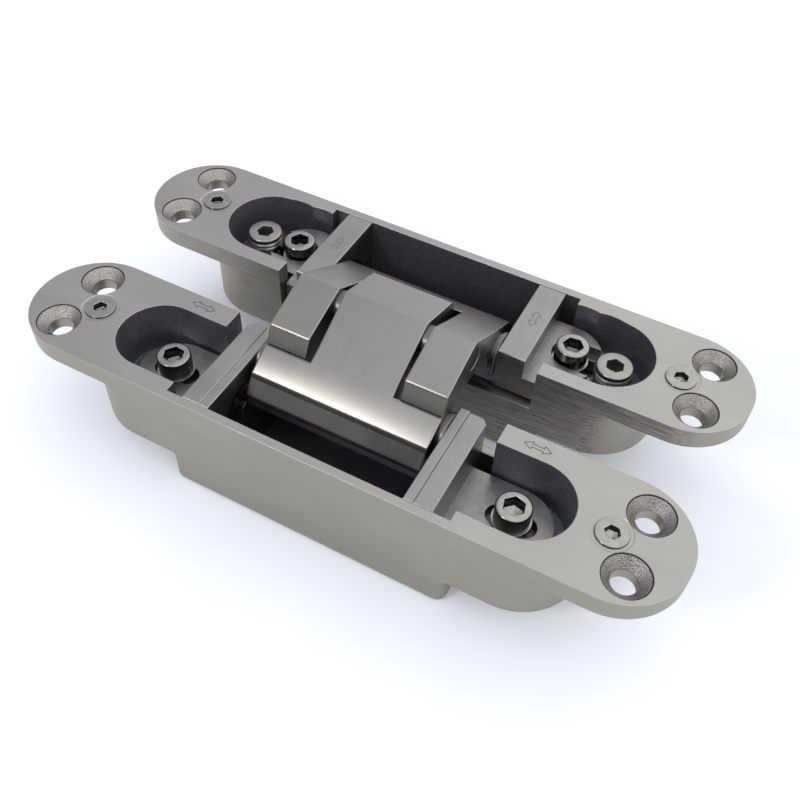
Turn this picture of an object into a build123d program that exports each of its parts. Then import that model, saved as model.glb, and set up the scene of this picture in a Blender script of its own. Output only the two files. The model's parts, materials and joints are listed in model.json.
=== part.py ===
import math
import os
from build123d import *

# Concealed door hinge, built fully open with both face plates up.
# X runs along the plates, Y from the front body to the rear body, Z up out of the plates.
# Each body is drawn in its own face frame: y is 0 on the plate's centre line and grows towards
# the other body, z is 0 on the face and negative inside the body.

# Arms and what stands beside them, along x from the middle outwards
arm_width = 46.8
tongue_width = 21.8
prong_clearance = 1.85
pivot_gap = 1.7
liner_thickness = 2.45
front_block_thickness = 4.8
rear_block_thickness = 7.4
rail_gap = 4.0

# Housings, along x from the middle outwards
end_wall = 1.5
front_clamp_reach = 9.45
rear_clamp_reach = 3.7
spindle_reach = 15.1
front_pocket_reach = 22.7
rear_pocket_reach = 24.2
pocket_end_wall = 4.0
flange_reach = 20.3
plate_screw_reach = 2.6
fixing_hole_reach = 8.6

# Housings, across and down
plate_width = 32.0
plate_gap = 17.8
flange_thickness = 5.5
body_depth = 32.0
box_corner = 2.5
box_bottom_round = 1.5
floor_thickness = 1.5
end_floor = 1.25
outer_wall = 2.2
front_low_wall_drop = 10.9
front_pocket_width = 21.1
front_pocket_shift = -0.45
rear_pocket_width = 23.4
rear_pocket_shift = 0.35
scallop_depth = 0.2
scallop_reaches = (3.1, 9.6)

# Fixing holes and small screws in the flanges
fixing_hole_y = 8.25
fixing_hole_radius = 3.0
fixing_rim_radius = 5.5
plate_screw_radius = 2.0
plate_screw_head_radius = 3.8
plate_screw_rise = 0.3
plate_screw_socket = 3.4
plate_screw_socket_depth = 1.6
spot_face_margin = 0.9
spot_face_depth = 0.12

# Linkage, in the face frame of either body
closed_gap = 4.0
pivot_y, pivot_z = 10.0, -5.0
slide_y, slide_z = 2.6, -9.0
centre_height = 6.3
ridge_height = 11.6
wide_edge_y, wide_edge_z = 1.6, -1.5
narrow_edge_y, narrow_edge_z = 10.8, 6.9
lip_y, lip_z = -1.9, -6.6
wide_end_back_y = 8.3
wide_end_cut_angle = 60.0
wide_end_cut_length = 7.5
wide_end_step = 0.7
long_leaf_thickness = 3.4
leg_corner_depth = 7.0
leg_corner_reach = 12.5
knee_drop = 5.5
knee_round = 3.0
slide_boss_radius = 3.8
pivot_boss_radius = 4.2
wide_edge_round = 1.2
ridge_round = 0.5
narrow_edge_round = 1.2
lip_round = 1.6
leg_round = 1.5
path_steps = 20

# Pins, bushes and washers
centre_pin_radius = 3.0
pivot_pin_radius = 2.5
slide_pin_radius = 2.5
slide_bush_wall = 0.9
running_clearance = 0.05
slot_clearance = 0.1
seat_clearance = 0.02
pivot_washer_radius = 5.75
pivot_washer_step = 0.5
centre_washer_radius = 3.9
pin_reach = 5.4

# Carriages
wall_clearance = 0.1
front_block_setback = 1.1
liner_setback = 0.7
rear_block_setback = 2.2
block_corner_round = 2.0
block_edge_break = 0.2
cheek_floor_gap = 0.3
front_foot_top = 11.7
front_foot_thickness = 3.0
front_foot_side_gap = 0.65
front_slot_travel = 3.3
rear_foot_top = 6.0
rear_foot_thickness = 6.2
rear_foot_side_gap = 2.1
rear_foot_setback = 1.8
rear_foot_tip_reach = 0.2
rear_seat_depth = 2.7
rear_seat_half_width = 5.0
screw_slot_margin = 0.4

# Clamp screws and spindles
clamp_screw_radius = 2.5
clamp_head_radius = 4.25
clamp_head_height = 5.0
clamp_washer_radius = 4.7
clamp_washer_thickness = 1.0
clamp_shank_length = 10.0
clamp_socket = 4.0
clamp_socket_depth = 2.8
head_chamfer = 0.4
rear_travel = 1.0
spindle_top = 4.15
spindle_collar_radius = 4.7
spindle_neck_radius = 3.0
spindle_neck_clearance = 0.25
spindle_thread_radius = 5.5
spindle_length = 15.0
spindle_socket = 4.0
spindle_socket_depth = 3.0
bore_clearance = 0.08

# Derived sizes, along x
half_arm = arm_width / 2
prong_gap = tongue_width + 2 * prong_clearance
cheek_inner_x = half_arm + pivot_gap
liner_outer_x = cheek_inner_x + liner_thickness
front_block_outer_x = liner_outer_x + front_block_thickness
rear_block_outer_x = cheek_inner_x + rear_block_thickness
half_middle = max(front_block_outer_x, rear_block_outer_x) + rail_gap
box_length = 2 * (half_middle + end_wall)
front_pocket_length = 2 * (half_middle + front_pocket_reach)
rear_pocket_length = 2 * (half_middle + rear_pocket_reach)
half_end = max(front_pocket_length, rear_pocket_length) / 2 + pocket_end_wall
end_length = 2 * half_end
plate_length = 2 * (half_end + flange_reach)
plate_screw_x = half_end + plate_screw_reach
fixing_hole_x = half_end + fixing_hole_reach
front_clamp_x = half_middle + front_clamp_reach
rear_clamp_x = half_middle + rear_clamp_reach
spindle_x = half_middle + spindle_reach
washer_thickness = pivot_gap / 2 - running_clearance

# Derived sizes, across and down
half_pitch = (plate_width + plate_gap) / 2
half_width = plate_width / 2
outer_wall_y = -half_width + outer_wall
front_rail_y = front_pocket_shift + front_pocket_width / 2
rear_rail_y = rear_pocket_shift + rear_pocket_width / 2
front_inner_y = half_width - outer_wall
front_foot_low = front_foot_top + front_foot_thickness
rear_foot_low = rear_foot_top + rear_foot_thickness
rear_foot_seat = rear_foot_top + rear_seat_depth
front_pocket_floor = front_foot_low + running_clearance
rear_low_wall_drop = rear_foot_low + rear_travel + wall_clearance
rear_pocket_floor = rear_foot_low + rear_travel + 2 * wall_clearance
front_foot_half_width = front_pocket_width / 2 - front_foot_side_gap
rear_foot_half_width = rear_pocket_width / 2 - rear_foot_side_gap
front_cheek_depth = body_depth - floor_thickness - cheek_floor_gap
rear_cheek_depth = body_depth - floor_thickness - rear_travel - wall_clearance
scallop_radius = rear_pocket_width / 2 + scallop_depth
screw_slot_half_width = clamp_screw_radius + screw_slot_margin
spindle_neck_notch = spindle_neck_radius + spindle_neck_clearance
spindle_end = spindle_top + spindle_length + rear_travel + bore_clearance
end_depth = spindle_end + end_floor
slide_bush_radius = slide_pin_radius + slide_bush_wall
slot_radius = slide_bush_radius + slot_clearance


# Small tools
def place_front(shape):
    return Pos(0, -half_pitch, body_depth) * shape


def place_rear(shape):
    return Pos(0, half_pitch, body_depth) * mirror(shape, about=Plane.XZ)


def block(x0, x1, y0, y1, z0, z1):
    return Pos((x0 + x1) / 2, (y0 + y1) / 2, (z0 + z1) / 2) * Box(abs(x1 - x0), abs(y1 - y0), abs(z1 - z0))


def post(x, y, radius, z0, z1):
    return Pos(x, y, (z0 + z1) / 2) * Cylinder(radius, abs(z1 - z0))


def cone(x, y, radius, z0, end_radius, z1):
    return Pos(x, y, (z0 + z1) / 2) * Cone(end_radius, radius, abs(z1 - z0))


def rod(y, z, radius, x0, x1):
    return Pos((x0 + x1) / 2, y, z) * Rot(0, 90, 0) * Cylinder(radius, abs(x1 - x0))


def ring(y, z, radius, hole, x0, x1):
    return rod(y, z, radius, x0, x1) - rod(y, z, hole, x0, x1)


def hexagon(x, y, across_flats, z0, z1):
    face = RegularPolygon(across_flats / 2, 6, major_radius=False)
    return Pos(x, y, min(z0, z1)) * extrude(face, abs(z1 - z0))


def slab(face, x0, x1):
    return extrude(Plane.YZ.offset(x0) * face, x1 - x0)


def slot_plate(x0, x1, y_mid, half, z0, z1):
    """plate with a full round end at x1, square at x0"""
    return block(x0, x1 - half, y_mid - half, y_mid + half, z0, z1) + post(x1 - half, y_mid, half, z0, z1)


def both_sides(shape):
    return [shape, mirror(shape, about=Plane.YZ)]


def rounded_face(corners):
    """closed outline from (point, radius) corners, a radius of 0 keeps the corner sharp"""
    edges = []
    arcs = []
    count = len(corners)
    for i in range(count):
        before = Vector(*corners[i - 1][0])
        here = Vector(*corners[i][0])
        after = Vector(*corners[(i + 1) % count][0])
        radius = corners[i][1]
        if radius == 0:
            arcs.append((here, None, here))
            continue
        to_before = (before - here).normalized()
        to_after = (after - here).normalized()
        half_angle = math.radians(to_before.get_angle(to_after)) / 2
        cut = radius / math.tan(half_angle)
        middle = (to_before + to_after).normalized()
        top = here + middle * (radius / math.sin(half_angle) - radius)
        arcs.append((here + to_before * cut, top, here + to_after * cut))
    for i in range(count):
        start, top, end = arcs[i]
        if top is not None:
            edges.append(ThreePointArc(start, top, end))
        edges.append(Line(end, arcs[(i + 1) % count][0]))
    return make_face(edges)


def tangent_point(point, centre, radius, side):
    """where a line from the point touches the circle"""
    run = centre - point
    turn = math.atan2(run.Y, run.X) + side * math.asin(radius / run.length)
    reach = math.sqrt(run.length ** 2 - radius ** 2)
    return point + Vector(math.cos(turn), math.sin(turn)) * reach


def turned(vector, angle):
    c = math.cos(angle)
    s = math.sin(angle)
    return Vector(c * vector.X - s * vector.Y, s * vector.X + c * vector.Y)


def disc(centre, radius):
    return Pos(centre.X, centre.Y) * Circle(radius)


# Linkage layout: the arm turns on the pivot, the slide pin follows a curved slot
pivot = Vector(pivot_y, pivot_z)
slide = Vector(slide_y, slide_z)
centre = Vector(half_pitch, centre_height)
ridge = Vector(half_pitch, ridge_height)
wide_edge = Vector(wide_edge_y, wide_edge_z)
lip = Vector(lip_y, lip_z)
far_edge = Vector(2 * half_pitch - narrow_edge_y, narrow_edge_z)
far_pivot = Vector(2 * half_pitch - pivot_y, pivot_z)
pivot_to_centre = (centre - pivot).length
open_angle = math.atan2(centre.Y - pivot.Y, centre.X - pivot.X)
closed_angle = math.pi - math.asin((closed_gap / 2 - pivot.Y) / pivot_to_centre)
fold_angle = closed_angle - open_angle
opening_ratio = math.pi / fold_angle


def slide_place(share):
    """slide pin of the wide arm end, with the hinge folded by this share of its travel"""
    turn = share * fold_angle
    c = pivot + Vector(math.cos(open_angle + turn), math.sin(open_angle + turn)) * pivot_to_centre
    return c + turned(slide - centre, (opening_ratio - 1) * turn)


def slide_slot_face(radius):
    """curved slot: round-ended links joined along the slide pin's path"""
    places = [slide_place(i / path_steps) for i in range(path_steps + 1)]
    face = disc(places[0], radius)
    for start, end in zip(places, places[1:]):
        along = end - start
        link = Pos((start + end) / 2) * Rot(0, 0, math.degrees(math.atan2(along.Y, along.X)))
        face += link * Rectangle(along.length, 2 * radius) + disc(end, radius)
    return face


# Arms: the bent arm profile is the skilled part of this hinge
along_long = (ridge - wide_edge).normalized()
into_long = Vector(along_long.Y, -along_long.X)
along_short = (far_edge - ridge).normalized()
into_short = Vector(along_short.Y, -along_short.X)


def height_on_long_leaf(y):
    return wide_edge.Y + (y - wide_edge.X) * along_long.Y / along_long.X


def long_leaf_underside(y):
    return Vector(y, height_on_long_leaf(y) - long_leaf_thickness / along_long.X)


def full_profile():
    """the whole bent arm: wide end, ridge and the leg to the far pivot"""
    outer_touch = tangent_point(far_edge, far_pivot, pivot_boss_radius, 1)
    leg_corner = ridge + along_short * leg_corner_reach + into_short * leg_corner_depth
    inner_touch = tangent_point(leg_corner, far_pivot, pivot_boss_radius, -1)
    under_wide = long_leaf_underside(wide_end_back_y - wide_end_step)
    lip_touch = tangent_point(lip, slide, slide_boss_radius, -1)
    back_touch = tangent_point(under_wide, slide, slide_boss_radius, 1)
    knee = centre - Vector(0, knee_drop)
    outline = rounded_face([
        (wide_edge, wide_edge_round),
        (ridge, ridge_round),
        (far_edge, narrow_edge_round),
        (outer_touch, 0),
        (far_pivot, 0),
        (inner_touch, 0),
        (leg_corner, leg_round),
        (knee, knee_round),
        (under_wide, 0),
        (back_touch, 0),
        (slide, 0),
        (lip_touch, 0),
        (lip, lip_round),
    ])
    return outline + disc(slide, slide_boss_radius) + disc(far_pivot, pivot_boss_radius)


def wide_end_profile():
    """the wide end alone, cut off where the narrow end of the other arm comes down"""
    back_top = Vector(wide_end_back_y, height_on_long_leaf(wide_end_back_y))
    cut_turn = math.radians(wide_end_cut_angle)
    back_low = back_top - Vector(math.cos(cut_turn), math.sin(cut_turn)) * wide_end_cut_length
    back_touch = tangent_point(back_low, slide, slide_boss_radius, 1)
    lip_touch = tangent_point(lip, slide, slide_boss_radius, -1)
    outline = rounded_face([
        (wide_edge, wide_edge_round),
        (back_top, 0),
        (back_low, 0),
        (back_touch, 0),
        (slide, 0),
        (lip_touch, 0),
        (lip, lip_round),
    ])
    return outline + disc(slide, slide_boss_radius)


def arm_holes(clear_centre):
    centre_hole = centre_pin_radius + clear_centre
    pivot_hole = pivot_pin_radius + running_clearance
    slide_hole = slide_pin_radius + seat_clearance
    holes = [
        rod(centre.X, centre.Y, centre_hole, -half_arm, half_arm),
        rod(far_pivot.X, far_pivot.Y, pivot_hole, -half_arm, half_arm),
        rod(slide.X, slide.Y, slide_hole, -half_arm, half_arm),
    ]
    return holes


def tee_arm():
    body = slab(full_profile(), -tongue_width / 2, tongue_width / 2)
    body += slab(wide_end_profile(), -half_arm, half_arm)
    for hole in arm_holes(running_clearance):
        body -= hole
    return [place_front(body)]


def fork_arm():
    body = slab(wide_end_profile(), -half_arm, half_arm)
    for side in both_sides(slab(full_profile(), prong_gap / 2, half_arm)):
        body += side
    for hole in arm_holes(seat_clearance):
        body -= hole
    return [place_rear(body)]


# Housings
def housing(pocket_length, pocket_width, pocket_shift, pocket_floor, low_wall_drop, low_wall_y):
    body = Pos(0, 0, -flange_thickness) * extrude(SlotOverall(plate_length, plate_width), flange_thickness)
    body += Pos(0, 0, -end_depth) * extrude(SlotOverall(end_length, plate_width), end_depth)
    deep = Pos(0, 0, -body_depth) * extrude(RectangleRounded(box_length, plate_width, box_corner),
                                            body_depth - flange_thickness)
    bottom_edges = deep.edges().group_by(Axis.Z)[0]
    body += fillet(bottom_edges, box_bottom_round)
    pocket = Pos(0, pocket_shift, -pocket_floor) * extrude(SlotOverall(pocket_length, pocket_width), pocket_floor)
    body -= pocket
    body -= block(-half_middle, half_middle, outer_wall_y, half_width, -low_wall_drop, 0)
    body -= block(-half_middle, half_middle, outer_wall_y, low_wall_y, floor_thickness - body_depth, 0)
    for x in (-fixing_hole_x, fixing_hole_x):
        for y in (-fixing_hole_y, fixing_hole_y):
            body -= post(x, y, fixing_hole_radius, -flange_thickness, 0)
            body -= cone(x, y, fixing_rim_radius, 0, fixing_hole_radius, fixing_hole_radius - fixing_rim_radius)
    hole = plate_screw_radius + seat_clearance
    rim = plate_screw_head_radius + seat_clearance
    for x in (-plate_screw_x, plate_screw_x):
        body -= post(x, 0, hole, -flange_thickness, 0)
        body -= cone(x, 0, rim, -spot_face_depth, hole, hole - rim - spot_face_depth)
        body -= post(x, 0, rim + spot_face_margin, -spot_face_depth, 0)
    return body


def front_housing():
    body = housing(front_pocket_length, front_pocket_width, front_pocket_shift, front_pocket_floor,
                   front_low_wall_drop, front_inner_y)
    thread_end = front_foot_top + clamp_shank_length - clamp_washer_thickness
    for x in (-front_clamp_x, front_clamp_x):
        body -= post(x, 0, clamp_screw_radius + seat_clearance, -thread_end, -front_pocket_floor)
    return [place_front(body)]


def rear_housing():
    body = housing(rear_pocket_length, rear_pocket_width, rear_pocket_shift, rear_pocket_floor,
                   rear_low_wall_drop, rear_rail_y)
    thread_end = rear_foot_seat - clamp_washer_thickness + clamp_shank_length + rear_travel + bore_clearance
    for side in (-1, 1):
        for reach in scallop_reaches:
            cut = post(side * (half_middle + reach), 0, scallop_radius, -rear_pocket_floor, 0)
            body -= cut & block(-half_end, half_end, outer_wall_y, 0, -rear_pocket_floor, 0)
        body -= post(side * rear_clamp_x, 0, clamp_screw_radius + bore_clearance, -thread_end, 0)
        body -= post(side * spindle_x, 0, spindle_thread_radius + bore_clearance, -spindle_end, 0)
    return [place_rear(body)]


# Carriages, right-hand side drawn and the left-hand side mirrored
def cheek(x0, x1, end_y, low_end_y, low_wall_drop, depth, corner_round):
    """upright cheek: wide above the low inner wall, narrower inside the body"""
    start_y = outer_wall_y + wall_clearance
    upper = block(x0, x1, start_y, end_y, 2 * wall_clearance - low_wall_drop, 0)
    if corner_round > 0:
        corner = upper.edges().filter_by(Axis.Z).sort_by(lambda e: e.center().X + e.center().Y)[-1]
        upper = fillet(corner, corner_round)
    upper = chamfer(upper.edges().group_by(Axis.Z)[-1], block_edge_break)
    return upper + block(x0, x1, start_y, low_end_y, -depth, -2 * block_edge_break)


def cheek_cuts(x0, x1, depth_x):
    """pivot hole and slide slot, as deep in x as the pins reach"""
    reach = min(x1, depth_x)
    hole = rod(pivot.X, pivot.Y, pivot_pin_radius + seat_clearance, x0, reach)
    return hole + slab(slide_slot_face(slot_radius), x0, reach)


def front_liner():
    body = cheek(cheek_inner_x, liner_outer_x, half_width - liner_setback, front_inner_y - wall_clearance,
                 front_low_wall_drop, front_cheek_depth, 0)
    return body - cheek_cuts(cheek_inner_x, liner_outer_x, cheek_inner_x + pin_reach)


def front_bracket():
    body = cheek(liner_outer_x, front_block_outer_x, half_width - front_block_setback,
                 front_inner_y - wall_clearance, front_low_wall_drop, front_cheek_depth, block_corner_round)
    foot_end = front_clamp_x + front_foot_half_width
    body += slot_plate(front_block_outer_x, foot_end, front_pocket_shift, front_foot_half_width,
                       -front_foot_low, -front_foot_top)
    body -= cheek_cuts(liner_outer_x, front_block_outer_x, cheek_inner_x + pin_reach)
    slot = SlotCenterToCenter(2 * front_slot_travel, 2 * screw_slot_half_width)
    body -= Pos(front_clamp_x, 0, -front_foot_low) * extrude(slot, front_foot_thickness)
    return body


def rear_bracket():
    low_end = rear_rail_y - wall_clearance
    end_y = half_width - rear_block_setback
    tip_end = rear_clamp_x + rear_foot_tip_reach + rear_foot_half_width
    foot_end = rear_clamp_x - rear_foot_setback + rear_foot_half_width
    body = cheek(cheek_inner_x, rear_block_outer_x, end_y, low_end, rear_low_wall_drop, rear_cheek_depth, 0)
    body -= block(cheek_inner_x, rear_block_outer_x, low_end, end_y, -rear_low_wall_drop, -rear_foot_low)
    body += slot_plate(rear_block_outer_x, foot_end, 0, rear_foot_half_width, -rear_foot_low, -rear_foot_top)
    body += block(rear_block_outer_x, half_middle - 3 * wall_clearance, 0, end_y, -rear_foot_low, -rear_foot_top)
    body += slot_plate(rear_block_outer_x, tip_end, 0, rear_foot_half_width, -rear_foot_low, -rear_foot_seat)
    body -= cheek_cuts(cheek_inner_x, rear_block_outer_x, cheek_inner_x + pin_reach)
    body -= post(rear_clamp_x, 0, rear_seat_half_width, -rear_foot_seat, 0)
    body -= block(rear_clamp_x, tip_end, -rear_seat_half_width, rear_seat_half_width, -rear_foot_seat, 0)
    body -= post(rear_clamp_x, 0, screw_slot_half_width, -rear_foot_low, 0)
    body -= block(rear_clamp_x, tip_end, -screw_slot_half_width, screw_slot_half_width, -rear_foot_low, 0)
    return body - post(spindle_x, 0, spindle_neck_notch, -rear_foot_low, 0)


# Pins, bushes and washers
def pin(place, radius, half_length):
    return rod(place.X, place.Y, radius, -half_length, half_length)


def pivot_washers():
    washers = []
    hole = pivot_pin_radius + seat_clearance
    inner_x = half_arm + running_clearance
    for i in range(2):
        radius = pivot_washer_radius - pivot_washer_step * (1 - i)
        x = inner_x + i * washer_thickness
        washers += both_sides(ring(pivot.X, pivot.Y, radius, hole, x, x + washer_thickness))
    return washers


def slide_bushes():
    hole = slide_pin_radius + seat_clearance
    x0 = cheek_inner_x + running_clearance
    x1 = cheek_inner_x + pin_reach - running_clearance
    return both_sides(ring(slide.X, slide.Y, slide_bush_radius, hole, x0, x1))


def centre_washers():
    x0 = tongue_width / 2 + running_clearance
    x1 = prong_gap / 2 - running_clearance
    return both_sides(ring(centre.X, centre.Y, centre_washer_radius, centre_pin_radius + seat_clearance, x0, x1))


# Screws and spindles
def clamp_screw(x, seat_z):
    """socket cap screw standing on its washer, seat_z is the top of that washer"""
    head = post(x, 0, clamp_head_radius, seat_z, seat_z + clamp_head_height)
    head = chamfer(head.edges().group_by(Axis.Z)[-1], head_chamfer)
    shank = post(x, 0, clamp_screw_radius, seat_z - clamp_shank_length, seat_z)
    top = seat_z + clamp_head_height
    return head + shank - hexagon(x, 0, clamp_socket, top - clamp_socket_depth, top)


def clamp_washer(x, low_z):
    washer = post(x, 0, clamp_washer_radius, low_z, low_z + clamp_washer_thickness)
    return washer - post(x, 0, clamp_screw_radius + seat_clearance, low_z, low_z + clamp_washer_thickness)


def plate_screw(x):
    """countersunk screw, its head a little proud of the face"""
    cone_end = plate_screw_radius - plate_screw_head_radius - spot_face_depth
    body = post(x, 0, plate_screw_radius, -flange_thickness, cone_end)
    body += cone(x, 0, plate_screw_head_radius, -spot_face_depth, plate_screw_radius, cone_end)
    body += post(x, 0, plate_screw_head_radius, -spot_face_depth, plate_screw_rise)
    return body - hexagon(x, 0, plate_screw_socket, plate_screw_rise - plate_screw_socket_depth, plate_screw_rise)


def spindle():
    top = -spindle_top
    collar_low = running_clearance - rear_foot_seat
    thread_top = -rear_foot_low - running_clearance
    collar = post(spindle_x, 0, spindle_collar_radius, collar_low, top)
    collar = chamfer(collar.edges().group_by(Axis.Z)[-1], head_chamfer)
    neck = post(spindle_x, 0, spindle_neck_radius, thread_top, collar_low)
    thread = post(spindle_x, 0, spindle_thread_radius, top - spindle_length, thread_top)
    return collar + neck + thread - hexagon(spindle_x, 0, spindle_socket, top - spindle_socket_depth, top)


front_washer_low = running_clearance - front_foot_top
front_washer_top = front_washer_low + clamp_washer_thickness
rear_washer_top = clamp_washer_thickness - rear_foot_seat
pin_half_length = cheek_inner_x + pin_reach - running_clearance
pivot_pin = pin(pivot, pivot_pin_radius, pin_half_length)
slide_pin = pin(slide, slide_pin_radius, pin_half_length)
liner_right, liner_left = both_sides(front_liner())
front_right, front_left = both_sides(front_bracket())
rear_right, rear_left = both_sides(rear_bracket())
spindle_right, spindle_left = both_sides(spindle())

nodes = {
    "front_housing": front_housing(),
    "rear_housing": rear_housing(),
    "tee_arm": tee_arm(),
    "fork_arm": fork_arm(),
    "centre_pin": [place_front(pin(centre, centre_pin_radius, half_arm - running_clearance))],
    "centre_washers": [place_front(s) for s in centre_washers()],
    "front_pivot_pin": [place_front(pivot_pin)],
    "rear_pivot_pin": [place_rear(pivot_pin)],
    "front_pivot_washers": [place_front(s) for s in pivot_washers()],
    "rear_pivot_washers": [place_rear(s) for s in pivot_washers()],
    "front_slide_pin": [place_front(slide_pin)],
    "rear_slide_pin": [place_rear(slide_pin)],
    "front_slide_bushes": [place_front(s) for s in slide_bushes()],
    "rear_slide_bushes": [place_rear(s) for s in slide_bushes()],
    "front_liner_left": [place_front(liner_left)],
    "front_liner_right": [place_front(liner_right)],
    "front_bracket_left": [place_front(front_left)],
    "front_bracket_right": [place_front(front_right)],
    "rear_bracket_left": [place_rear(rear_left)],
    "rear_bracket_right": [place_rear(rear_right)],
    "front_clamp_screws": [place_front(s) for s in both_sides(clamp_screw(front_clamp_x, front_washer_top))],
    "front_clamp_washers": [place_front(s) for s in both_sides(clamp_washer(front_clamp_x, front_washer_low))],
    "rear_clamp_screws": [place_rear(s) for s in both_sides(clamp_screw(rear_clamp_x, rear_washer_top))],
    "rear_clamp_washers": [place_rear(s) for s in both_sides(clamp_washer(rear_clamp_x, -rear_foot_seat))],
    "spindle_left": [place_rear(spindle_left)],
    "spindle_right": [place_rear(spindle_right)],
    "front_plate_screws": [place_front(s) for s in both_sides(plate_screw(plate_screw_x))],
    "rear_plate_screws": [place_rear(s) for s in both_sides(plate_screw(plate_screw_x))],
}

os.makedirs("parts", exist_ok=True)
for name, shapes in nodes.items():
    solids = [solid for shape in shapes for solid in shape.solids()]
    export_step(Compound(children=solids), f"parts/{name}.step")
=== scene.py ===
import json
import math

import bpy
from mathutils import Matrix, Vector


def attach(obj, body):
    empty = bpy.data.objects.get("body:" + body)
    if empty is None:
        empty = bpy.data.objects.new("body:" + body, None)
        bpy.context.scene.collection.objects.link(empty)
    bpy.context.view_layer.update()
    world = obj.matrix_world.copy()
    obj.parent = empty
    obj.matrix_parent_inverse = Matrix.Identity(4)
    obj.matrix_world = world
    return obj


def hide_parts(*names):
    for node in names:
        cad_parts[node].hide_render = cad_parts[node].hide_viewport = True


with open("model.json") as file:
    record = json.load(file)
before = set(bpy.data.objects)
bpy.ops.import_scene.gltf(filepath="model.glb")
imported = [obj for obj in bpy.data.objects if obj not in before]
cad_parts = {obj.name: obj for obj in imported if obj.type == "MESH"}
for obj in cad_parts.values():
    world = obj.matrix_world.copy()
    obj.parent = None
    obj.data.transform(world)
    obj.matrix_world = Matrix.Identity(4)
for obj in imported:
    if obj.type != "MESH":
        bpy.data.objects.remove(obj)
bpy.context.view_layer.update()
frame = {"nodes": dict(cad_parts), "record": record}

MM = 0.001

# Camera of the photograph
CAMERA_PLACE_MM = (71.08, -138.20, 192.57)
CAMERA_TURN_DEG = (40.422, -1.991, 27.934)
CAMERA_LENS_MM = 41.02
CAMERA_FILM_MM = 36.0
CAMERA_NEAR_M = 0.01

# Lamp in front of the object
LAMP_PLACE_MM = (-195, -418, 366)
LAMP_TARGET_MM = (0, -15, 30)
LAMP_SIZE_MM = 110
LAMP_WATTS = 0.9

# Room and table: parts of a direction along x or y, strengths, and the table's length in metres
ROOM_LEFT_X = -0.5
ROOM_RIGHT_X = -0.05
ROOM_LEFT_LEVEL = 0.95
ROOM_RIGHT_LEVEL = 1.6
ROOM_DIM_FRONT_Y = -0.84
ROOM_LIT_FRONT_Y = -0.52
ROOM_DIM_FRONT_SHARE = 0.08
TABLE_GLOW = 0.08
TABLE_SIZE_M = 4.0

# Sizes shared with the solids, in millimetres
FACE_HEIGHT = 32.0
HALF_PITCH = 24.9
MIDDLE_HALF = 37.2
END_CENTRE_X = 48.7
END_BOTTOM = 11.0
INNER_SIDE_Y = 8.9
WALL_INNER_REACH = 14.2
FRONT_RAIL_Y = -HALF_PITCH + 13.1
PLATE_SCREW_X = 67.3
SPINDLE_X = 51.6
COLLAR_RADIUS = 4.7
COLLAR_TOP = FACE_HEIGHT - 4.15
COLLAR_LOW = FACE_HEIGHT - 8.6
TEE_FRONT_Y = -24.0

# Crown at the tee's front edge, in millimetres: its fall grows with the square of the way to the edge
CROWN_REACH = 8.0
CROWN_FALL = 0.0145
ROLLED_EDGE_MM = 0.5

# Places of wear, grease, painted shade in the hollows and the dark line at the cones, in millimetres
BOTTOM_SKIN = 1.0
HOLLOW_DROP = 0.4
CONE_RIM_DEPTH = 0.28
SCORE_FULL = 0.2
SCORE_END = 2.0
SCORE_EVEN_X = 30.0
FOOT_DROP = 1.5

# Faces told apart by the upward part of their normal
CONE_SLOPE = 0.65
CONE_SLOPE_PLAY = 0.25
UPRIGHT_PLAY = 0.3
# Screw faces between these two slopes go from painted shade to their full tone
SCREW_SIDE_SLOPE = 0.25
SCREW_TOP_SLOPE = 0.95

# Rubbed edges, lightened partly as wear and partly as a painted highlight: likeness of the rounded normal to
# the flat one where this starts and is full
RUB_AND_HIGHLIGHT_START = 0.995
RUB_AND_HIGHLIGHT_FULL = 0.80
EDGE_SAMPLES = 6
ROLLED_EDGE_SAMPLES = 8

# Noise, and what grain and clouds do to the tone and roughness of a metal
NOISE_LOW = 0.3
NOISE_HIGH = 0.7
NOISE_ROUGHNESS = 0.55
GRAIN_TONE = 0.6
CLOUD_TONE = 0.4
GRAIN_ROUGHNESS = 0.08
CLOUD_ROUGHNESS = 0.05
ROUGHNESS_DROP = 0.06

# Socket numbers of a Mix node set to colour
SHARE = 0
FROM = 6
TO = 7
MIXED = 2

# Direction arrows, in millimetres, with head and stem as shares of the length and width
ARROW_X = 45.3
ARROW_LENGTH = 7.0
ARROW_WIDTH = 2.6
BLOCK_ARROW_X = 28.8
BLOCK_ARROW_Y = HALF_PITCH + 1.0
BLOCK_ARROW_LENGTH = 6.0
BLOCK_ARROW_WIDTH = 2.8
ARROW_HEAD_SHARE = 0.32
ARROW_STEM_SHARE = 0.44
ARROW_STEP = 0.02
MARK_LINE = 0.22
MARK_HEIGHT = 0.03

# Spindle threads, in millimetres and in steps for each turn
THREAD_PITCH = 1.15
THREAD_DEPTH = 0.38
THREAD_HALF_WIDTH = THREAD_PITCH * 0.42
THREAD_RUNOUT = 1.4 * THREAD_PITCH
THREAD_STEPS = 48

# Screws: rings of radius and height in millimetres, from the head's rim down to the tip
CAP_SCREW_RINGS = ((4.25, 5.0), (4.25, 0.0), (2.5, 0.0), (2.5, -9.4), (1.9, -10.0))
CAP_SCREW_RIM = 0.6
CAP_SCREW_HEX = 4.5
CAP_SCREW_HEX_DEPTH = 3.4
FLUSH_SCREW_RINGS = ((3.8, 0.3), (3.8, -0.12), (2.0, -1.92), (2.0, -5.1), (1.6, -5.5))
FLUSH_SCREW_RIM = 0.22
FLUSH_SCREW_HEX = 3.0
FLUSH_SCREW_HEX_DEPTH = 1.7
SPINDLE_RINGS = ((COLLAR_RADIUS, 0.0), (COLLAR_RADIUS, -4.5), (3.0, -4.5), (3.0, -8.1), (5.5, -8.1),
                 (5.5, -14.4), (4.9, -15.0))
SPINDLE_RIM = 0.5
SPINDLE_HEX = 4.0
SPINDLE_HEX_DEPTH = 4.2
SCREW_SIDES = 64
RIM_STEPS = 5

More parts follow.
